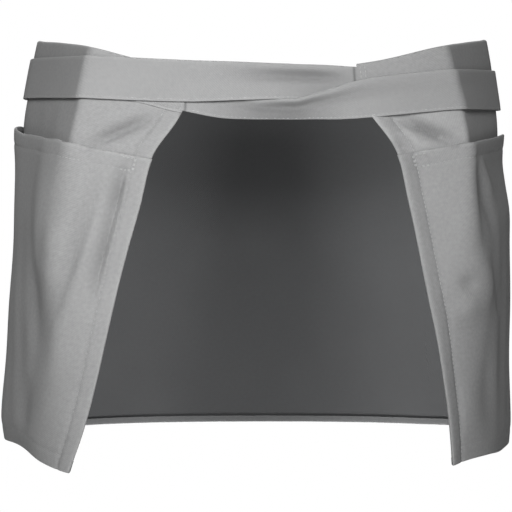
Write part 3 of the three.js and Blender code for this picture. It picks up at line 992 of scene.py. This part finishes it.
# %% The ties' tables
TIE_RIGHT = {
    "at": [-446.6, -439.6, -430.6, -414.6, -360, -235, -125, -57, -20, 0, 8, 17, 26, 40, 52, 66, 76],
    "height": [
        -9, -9.5, -10.5, -12, -12, -14, -21.8, -24.8, -24.9,
        -25, -25, -25.1, -25.2, -25.4, -26.2, -27.5, -27.4,
    ],
    "width": [11, 14, 21, 28.4, 29, 29, 29.2, 28.5, 26.4, 25, 24.4, 24.2, 23.8, 23.6, 24.2, 25, 24.6],
    "high": [8.5, 7.6, 5.2, 3.7, 3.4, 3.4, 3.4, 3.4, 3.4, 3.3, 3, 1.8, 0.6, 0.1, 0, 0, 0],
    "low": [8.5, 7.6, 5.2, 3.7, 3.4, 3.4, 3.4, 3.4, 3.4, 3.3, 3, 1.5, -0.2, -1.6, -1.2, 0, 0],
    "fold": [0, 0, 0, 0, 0, 0, 0, 0.2, 1.0, 2.2, 2.8, 3.2, 3.4, 3.2, 2.2, 0.3, 0],
    "thick": [5.0, 4.2, 2.4] + [1.35] * 12 + [1.2, 1.2],
}
TIE_LEFT = {
    "at": [-63, -53, -30, -5, 8, 17, 26, 36, 54, 66, 83, 135, 240, 365, 418.6, 434.6, 443.6, 450.6],
    "height": [
        -31, -33.2, -38.4, -44.2, -44.6, -44.7, -44.7, -43.2, -40.8,
        -38.6, -36.2, -31, -23, -15, -12.2, -10.5, -9.5, -9,
    ],
    "width": [26, 26, 24, 14.6, 13.8, 14, 14.2, 17, 22, 25.2, 27, 27.6, 29, 29, 28.4, 21, 14, 11],
    "high": [0, 0, 0, 0.2, 0.6, 1.8, 3.1, 3.4, 3.6, 3.6, 3.4, 3.4, 3.4, 3.4, 3.7, 5.2, 7.6, 8.5],
    "low": [0, 0, -2, -4.5, -5, -4, -2.5, -0.5, 2.6, 3.4, 3.4, 3.4, 3.4, 3.4, 3.7, 5.2, 7.6, 8.5],
    "fold": [0, 0, 0.2, 0.8, 1.9, 2.5, 2.8, 2.8, 2.4, 1.9, 1.2, 0.4, 0, 0, 0, 0, 0, 0],
    "thick": [1.2, 1.2] + [1.35] * 13 + [2.4, 4.2, 5.0],
}
TIES = {"right": TIE_RIGHT, "left": TIE_LEFT}
TIE_WIDTH = 29
TIE_STITCH = 0.04
FOLD_RIDGE = 0.92
FOLD_FURROW = 0.65
for word, table in TIES.items():
    print(word, "tie on the form, mm:", table["at"][-1] - table["at"][0])

# %% Shape a flat loop of cloth
LOOP_FACE = 15
LOOP_EDGE = 4
EDGE_BULGE = 0.025
LOOP_THICK = 1.4
EDGE_WEAR = 0.8


def loop_section():
    """Round a flat loop: the share across (0 low, 1 high), and the place through its thickness."""
    face = np.linspace(0, 1, LOOP_FACE)
    arc = np.linspace(0, math.pi, LOOP_EDGE + 2)[1:-1]
    bulge = EDGE_BULGE * np.sin(arc)
    half = np.full(LOOP_FACE, 0.5)
    turn = 0.5 * np.cos(arc)
    return np.concatenate([face, 1 + bulge, face[::-1], -bulge]), np.concatenate([half, turn, -half, -turn])


def closed_strap(name, stations, place, width, painted_shade=None):
    """A strap as a closed flat tube: place(station, up, out) gives its points in millimetres.

    The last argument, called with (station, up), says how much darker the strap is painted there, as painted
    shade.
    """
    up, out = loop_section()
    run = run_along(np.column_stack([up * width, out * LOOP_THICK]))
    run = np.append(run, run[-1] + 1.0)

    def at(column, row):
        k = np.searchsorted(run, -row) % len(up)
        wear_and_shading = EDGE_WEAR * ridge(np.abs(up[k] - 0.5), 0.52, 0.05)
        # Edges are paler with wear; painted shade darkens the tie where its parts shade each other.
        if painted_shade is not None:
            wear_and_shading -= painted_shade(column, up[k])
        return place(column, up[k], out[k]), wear_and_shading

    strap = cloth_grid(name, stations, -run, at)
    bpy.ops.object.mode_set(mode="EDIT")
    bpy.ops.mesh.select_all(action="SELECT")
    bpy.ops.mesh.remove_doubles(threshold=0.01 * MM)
    bpy.ops.mesh.select_all(action="DESELECT")
    bpy.ops.mesh.select_non_manifold()
    bpy.ops.mesh.edge_face_add()
    bpy.ops.mesh.select_all(action="SELECT")
    bpy.ops.mesh.normals_make_consistent(inside=False)
    bpy.ops.object.mode_set(mode="OBJECT")
    bpy.ops.object.shade_smooth_by_angle(angle=math.radians(70))
    strap.data.materials.append(twill_pressed)
    print(f"{name}: {len(strap.data.polygons)} faces")
    return strap


print("points round a tie:", len(loop_section()[0]))

# %% Lay the ties
TIE_WANDER = 0.22
# Weights of the shade painted on the ties: at the band's end, along the lower strip where a tie leans, and in
# its lengthwise furrow.
ENTRY_SHADE = 3.5
LEAN_SHADE = 0.45
FURROW_SHADE = 0.6


def tie_course(table):
    """Height, width, lifts, fold and thickness of a tie as smooth curves."""
    return {name: smooth(table, "at", name) for name in table if name != "at"}


def on_tie(course, at, up, out):
    """A point of a tie at a distance from the back centre, across it and through it."""
    height = course["height"](at) + course["width"](at) * (up - 0.5)
    side = np.where(at < 0, -1, 1)
    down = -course["height"](at) / APRON_DROP
    way = np.abs(at) / each(half_girth, side, down)
    across = np.clip(up, 0, 1)
    lift = lerp(course["low"](at), course["high"](at), ease(across, 0.3, 0.8))
    fold = 0.6 * ridge(across, FOLD_RIDGE, 0.11) - ridge(across, FOLD_FURROW, 0.14)
    lift += course["fold"](at) * fold
    drawn = ease(course["thick"](at), 1.4, 4.0)
    lift += TIE_WANDER * unevenness(at, across * 40, 19) * (1 - drawn)
    lift += drawn * (1.1 * np.sin(across * 11 + 0.6) - 3.2 * (across - 0.5) ** 2)
    hem = 0.1 * pucker(at, (across - TIE_STITCH) * TIE_WIDTH, 4, 8.5) - 0.12 * ridge(across, TIE_STITCH, 0.05)
    lift += hem * (1 - drawn) + course["thick"](at) * out
    return worn(side, way, height, lift)


def lay_tie(name, table, course, entry, corner):
    """One tie, with more grid lines where it enters the band and where it turns a corner of the form."""
    seams = np.append(corner + np.arange(-9, 10, 3), entry)
    stations = lines(table["at"][0], table["at"][-1], 2.6, seams=seams)

    # Painted shade on a tie.
    def painted_shade(at, up):
        lean = (course["high"](at) - course["low"](at)) * (1 - ease(up, 0.3, 0.8))
        furrow = course["fold"](at) * ridge(up, FOLD_FURROW, 0.15)
        return ENTRY_SHADE * ridge(at, entry, 0.9) + LEAN_SHADE * lean + FURROW_SHADE * furrow

    return closed_strap(name, stations, partial(on_tie, course), TIE_WIDTH, painted_shade)


tie_entry = {"right": REAR_EDGES["right"][0] - 0.2, "left": -REAR_EDGES["left"][0] - 1.3}
tie_corner = {"right": -back[-1](0.1), "left": back[1](0.1)}
courses, ties = {}, {}
for word, table in TIES.items():
    courses[word] = tie_course(table)
    ties[word] = lay_tie(f"tie_{word}_cloth", table, courses[word], tie_entry[word], tie_corner[word])

# %% [markdown]
# ## The knot
# At the front the two ties make a flat knot: each one turns back round the other in a bight, and its end
# hangs down as a short tail. Inside the knot the cloth is drawn together like a soft rope, and it opens flat
# again along the tail. A real knot could be pulled tight in a simulation, but two drawn paths are enough for
# one so small. Each half follows a path of points in front of the panel, with its width and thickness. The
# second half is nearly the mirror of the first, passes under it in the middle and has a longer tail.

# %% The knot's course
KNOT_HEIGHT = -12.0
KNOT_LEFT = {
    "across": [-24, -16, -8, 0, 7, 12.5, 14.2, 12.5, 7, 0, -8, -14, -19, -21.5, -23, -25.5, -29],
    "high": [3, 3.4, 3.4, 3.2, 6.6, 6.0, 0, -6.0, -6.6, -3.2, -3.6, -5.5, -11, -22, -42, -76, -112],
    "lift": [7.6, 7.6, 8.2, 15.0, 16.8, 17.6, 18.2, 17.6, 16.8, 15.0, 8.0, 7.4, 7.2, 6.4, 5.4, 5.0, 4.6],
}
KNOT_RIGHT = {
    "across": [24, 16, 8, 0, -7, -12.5, -14.2, -12.5, -7, 0, 8, 14, 19, 22, 24.5, 29, 35],
    "high": [3, 3.4, 3.4, 8.4, 7.4, 6.0, 0, -6.0, -7.4, -8.4, -3.6, -5.5, -11, -22, -44, -82, -120],
    "lift": [7.6, 7.6, 8.0, 9.0, 15.4, 17.6, 18.4, 17.6, 15.4, 9.0, 8.0, 7.4, 7.2, 6.4, 5.4, 5.0, 4.6],
}
KNOT_SIZES = {
    "width": [11, 9.4, 8.6, 8.2, 8.2, 8.4, 8.6, 8.4, 8.2, 8.2, 8.6, 9.4, 12, 19, 26, 27, 27],
    "thick": [5, 5.6, 5.8] + [6] * 7 + [5.8, 5.6, 4.6, 2.6, 1.5, 1.4, 1.4],
}
TAIL_WIDTH = 27
KNOT_STEP = 1.3
CREASE_DEPTH = 0.09


def front_face(across, high, lift):
    """A point in front of the panel's middle, level with the knot."""
    side = np.where(across < 0, -1, 1)
    height = KNOT_HEIGHT + high
    down = np.clip(-height / APRON_DROP, 0, 1)
    return worn(side, 1 - np.abs(across) / each(half_girth, side, down), height, lift)


def knot_strap(name, table):
    """Half of the knot, along a smooth curve through the points of its table."""
    points = front_face(*(np.array(table[k], float) for k in ("across", "high", "lift")))
    chord = run_along(points)
    course = {"run": chord, **dict(zip("xyz", points.T)), **KNOT_SIZES}
    curve = [smooth(course, "run", axis) for axis in "xyz"]
    widths = smooth(course, "run", "width")
    thicks = smooth(course, "run", "thick")

    def place(run, up, out):
        centre = np.column_stack([c(run) for c in curve])
        ahead = unit(np.column_stack([c(run + 0.4) - c(run - 0.4) for c in curve]))
        facing = unit(np.array([0.0, 1.0, 0.0]) - ahead * ahead[:, 1:2])
        broad = np.cross(facing, ahead)
        roundness = ease(thicks(run), 1.6, 5.0)
        angle = np.where(out >= 0, 1, -1) * np.arccos(np.clip(2 * up - 1, -1, 1))
        crease = 1 + CREASE_DEPTH * np.sin(angle * 5 + run * 0.22) * roundness
        step_across = lerp(up - 0.5, 0.5 * np.cos(angle), roundness) * widths(run) * crease
        step_out = lerp(out, 0.5 * np.sin(angle), roundness) * thicks(run) * crease
        return centre + broad * step_across[:, None] + facing * step_out[:, None]

    stations = np.linspace(0, chord[-1], round(chord[-1] / KNOT_STEP) + 1)
    return closed_strap(name, stations, place, TAIL_WIDTH)


front_knot = knot_strap("front_knot_cloth", KNOT_LEFT)
other_half = knot_strap("other_half", KNOT_RIGHT)
select_only(other_half, front_knot)
bpy.ops.object.join()
print("knot:", len(front_knot.data.polygons), "faces")

# %% [markdown]
# ## The stitches
# Every hem is held by a row of lock stitches in a paler grey thread. Rows could be painted on, but real
# stitches catch the light. One stitch is modelled as a small bead, drawn out along the seam and bedded into
# the cloth, and copied along each row in one mesh. A row is a list of points on the cloth's face, so the
# stitches sit in the folds and puckers under them.

# %% Model one stitch
STITCH = 2.3
STITCH_PITCH = 3.1
STITCH_THICK = 0.38

bpy.ops.mesh.primitive_uv_sphere_add(segments=6, ring_count=4, radius=0.5)
bead = bpy.context.active_object
bead_points = np.array([v.co[:] for v in bead.data.vertices])
bead_faces = [tuple(face.vertices) for face in bead.data.polygons]
bpy.ops.object.delete()
print("faces of a stitch:", len(bead_faces))


def sew(name, rows):
    """One mesh of stitches along rows of points and outward directions, in millimetres."""
    centres, aheads, outs = [], [], []
    for points, outward in rows:
        run = run_along(points)
        middle = np.arange(STITCH_PITCH / 2, run[-1], STITCH_PITCH)
        centres.append(read_row(points, run, middle))
        aheads.append(read_row(points, run, middle + 0.8) - read_row(points, run, middle - 0.8))
        outs.append(read_row(outward, run, middle))
    centre = np.vstack(centres)
    ahead = unit(np.vstack(aheads))
    wide = unit(np.cross(np.vstack(outs), ahead))
    out = np.cross(ahead, wide)
    local = bead_points * np.array([STITCH_THICK, STITCH_THICK, STITCH])
    points = (
        centre[:, None]
        + local[None, :, 0:1] * wide[:, None]
        + local[None, :, 1:2] * out[:, None]
        + local[None, :, 2:3] * ahead[:, None]
    )
    count = len(bead_points)
    mesh = bpy.data.meshes.new(name)
    faces = [tuple(v + k * count for v in face) for k in range(len(centre)) for face in bead_faces]
    mesh.from_pydata((points.reshape(-1, 3) * MM).tolist(), [], faces)
    mesh.materials.append(grey_thread)
    mesh.shade_smooth()
    piece = bpy.data.objects.new(name, mesh)
    scene.collection.objects.link(piece)
    print(f"{name}: {len(centre)} stitches")
    return piece


# %% Rows along the seams
THREAD_LIFT = CLOTH / 2 + 0.12
TIGHT_LIFT = CLOTH / 2 - 0.14
BOTTOM_STITCH = APRON_DROP - 3.6
FRONT_SEWN = 255
SIDE_SEWN = (31, 73)
TACK_LENGTH = 8
TACK_STEP = 0.0018
LIP_MARGIN = 0.8
SIDE_THREAD = {-1: TIGHT_LIFT, 1: THREAD_LIFT}


def row_on(place, start, end, steps=400, lift=THREAD_LIFT):
    """A row between two places on a face, with the directions off it; a lift below 0 is on the inside."""
    a, b = (lerp(first, last, np.linspace(0, 1, steps)) for first, last in zip(start, end))
    points = place(a, b, lift)
    return points, place(a, b, lift + np.sign(lift)) - points


def on_panel(column, low, lift):
    """A point of the panel, lifted off its face."""
    points = panel_place(column, low)[0]
    beside = panel_place(column + 0.5, low)[0] - points
    below = panel_place(column, low + 0.5)[0] - points
    return points + lift * unit(np.cross(beside, below))


panel_rows_sewn = []
for side in SIDES:
    column = side * (PANEL_HALF - SIDE_STITCH)
    start, end = ((column, low) for low in SIDE_SEWN)
    panel_rows_sewn.append(row_on(on_panel, start, end, 400, SIDE_THREAD[side]))
panel_rows_sewn.append(
    row_on(on_panel, (-FRONT_SEWN, BOTTOM_STITCH), (FRONT_SEWN, BOTTOM_STITCH), 900, TIGHT_LIFT)
)
panel_stitches = sew("panel_stitches", panel_rows_sewn)

pocket_stitches = {}
for side, word in SIDES.items():
    place = partial(on_pocket, side)
    rear = 1 - SIDE_STITCH / POCKET_WIDTH
    tack = 1 - (SIDE_STITCH + TACK_LENGTH) / POCKET_WIDTH
    mouth = MOUTH_HEM / POCKET_DROP
    hem = 1 - HEM_LINE / POCKET_DROP
    seam = FRONT_STITCH / POCKET_WIDTH
    lip = LIP_MARGIN / POCKET_DROP
    pocket_stitches[side] = sew(f"pocket_{word}_stitches", [
        row_on(place, (rear, lip), (rear, 1 - lip), 500, SIDE_THREAD[side]),
        row_on(place, (seam, mouth), (rear, mouth), 600, TIGHT_LIFT),
        *(row_on(place, (rear + k * TACK_STEP, lip * 2), (rear + k * TACK_STEP, mouth)) for k in (1, 2, 3)),
        *(row_on(place, (rear, lip * k), (tack, lip * k)) for k in (2, 2.7)),
        *(row_on(place, (rear, mouth * k), (tack, mouth * k)) for k in (1.02, 1.08)),
        row_on(place, (seam, hem), (rear, hem), 600, TIGHT_LIFT),
        row_on(place, (seam, lip), (seam, 1 - lip), 500),
        row_on(place, (seam * 0.4, lip), (seam * 0.4, 1 - lip), 500),
    ])

# %% Rows on the band and the ties
BAND_END = PANEL_HALF - 2.0
BOX_WIDTH = 3.4
BOX_ENDS = (1.5, BAND_DROP - 1.5)
TIE_UNSEWN = {"right": (34, 12), "left": (12, 34)}


def on_band(column, drop, lift):
    """A point of the band, lifted off its outer or its inner leaf."""
    return band_point(column, drop, np.sign(lift) * (LEAF_LIFT + 0.1) + lift)


band_stitches = sew("waistband_stitches", [
    row_on(on_band, (-BAND_END, BAND_LOW), (BAND_END, BAND_LOW), 900),
    row_on(on_band, (-BAND_END, BAND_LOW), (BAND_END, BAND_LOW), 900, -THREAD_LIFT),
    *(
        row_on(on_band, (column, BOX_ENDS[0]), (column, BOX_ENDS[1]))
        for column in (BAND_END, BAND_END - BOX_WIDTH, -BAND_END, BOX_WIDTH - BAND_END)
    ),
])

tie_stitches = {}
for word, table in TIES.items():
    first, last = TIE_UNSEWN[word]
    at = np.linspace(table["at"][0] + first, table["at"][-1] - last, 700)
    points = on_tie(courses[word], at, TIE_STITCH, 0.44)
    outward = on_tie(courses[word], at, TIE_STITCH, 1.5) - points
    tie_stitches[word] = sew(f"tie_{word}_stitches", [(points, outward)])

# %% [markdown]
# ## Names and sizes
# A table lists for every sheet the solid it stands for, a finish name of the record, the size of its cloth
# laid flat, how it hangs, what it rests on and which stitches go with it. Here each solid is hidden, and each
# sheet and its stitches ride on one body, since nothing on an apron turns on a joint.

POCKET_FLAT = (0.301, 0.252)
DRESSED = {
    "apron_panel": (apron_panel, "panel_twill", (0.850, 0.300), "hung", ["waistband"], [panel_stitches]),
    "waistband": (waistband, "band_twill", (0.830, 0.076), "folded", ["apron_panel"], [band_stitches]),
    "pocket_left": (pockets[-1], "pocket_twill", POCKET_FLAT, "hung", ["apron_panel"], [pocket_stitches[-1]]),
    "pocket_right": (pockets[1], "pocket_twill", POCKET_FLAT, "hung", ["apron_panel"], [pocket_stitches[1]]),
    "tie_left": (ties["left"], "tie_twill", (0.029, 0.520), "folded", ["waistband"], [tie_stitches["left"]]),
    "tie_right": (
        ties["right"], "tie_twill", (0.029, 0.528), "folded", ["waistband"], [tie_stitches["right"]],
    ),
    "front_knot": (front_knot, "tie_twill", (0.029, 0.360), "folded", ["tie_left", "tie_right"], []),
}
for node, (piece, finish, flat, held, rests_on, sewn_on) in DRESSED.items():
    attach(piece, "root")
    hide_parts(node)
    for row in sewn_on:
        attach(row, "root")
    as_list(rests_on)
    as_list(sewn_on)
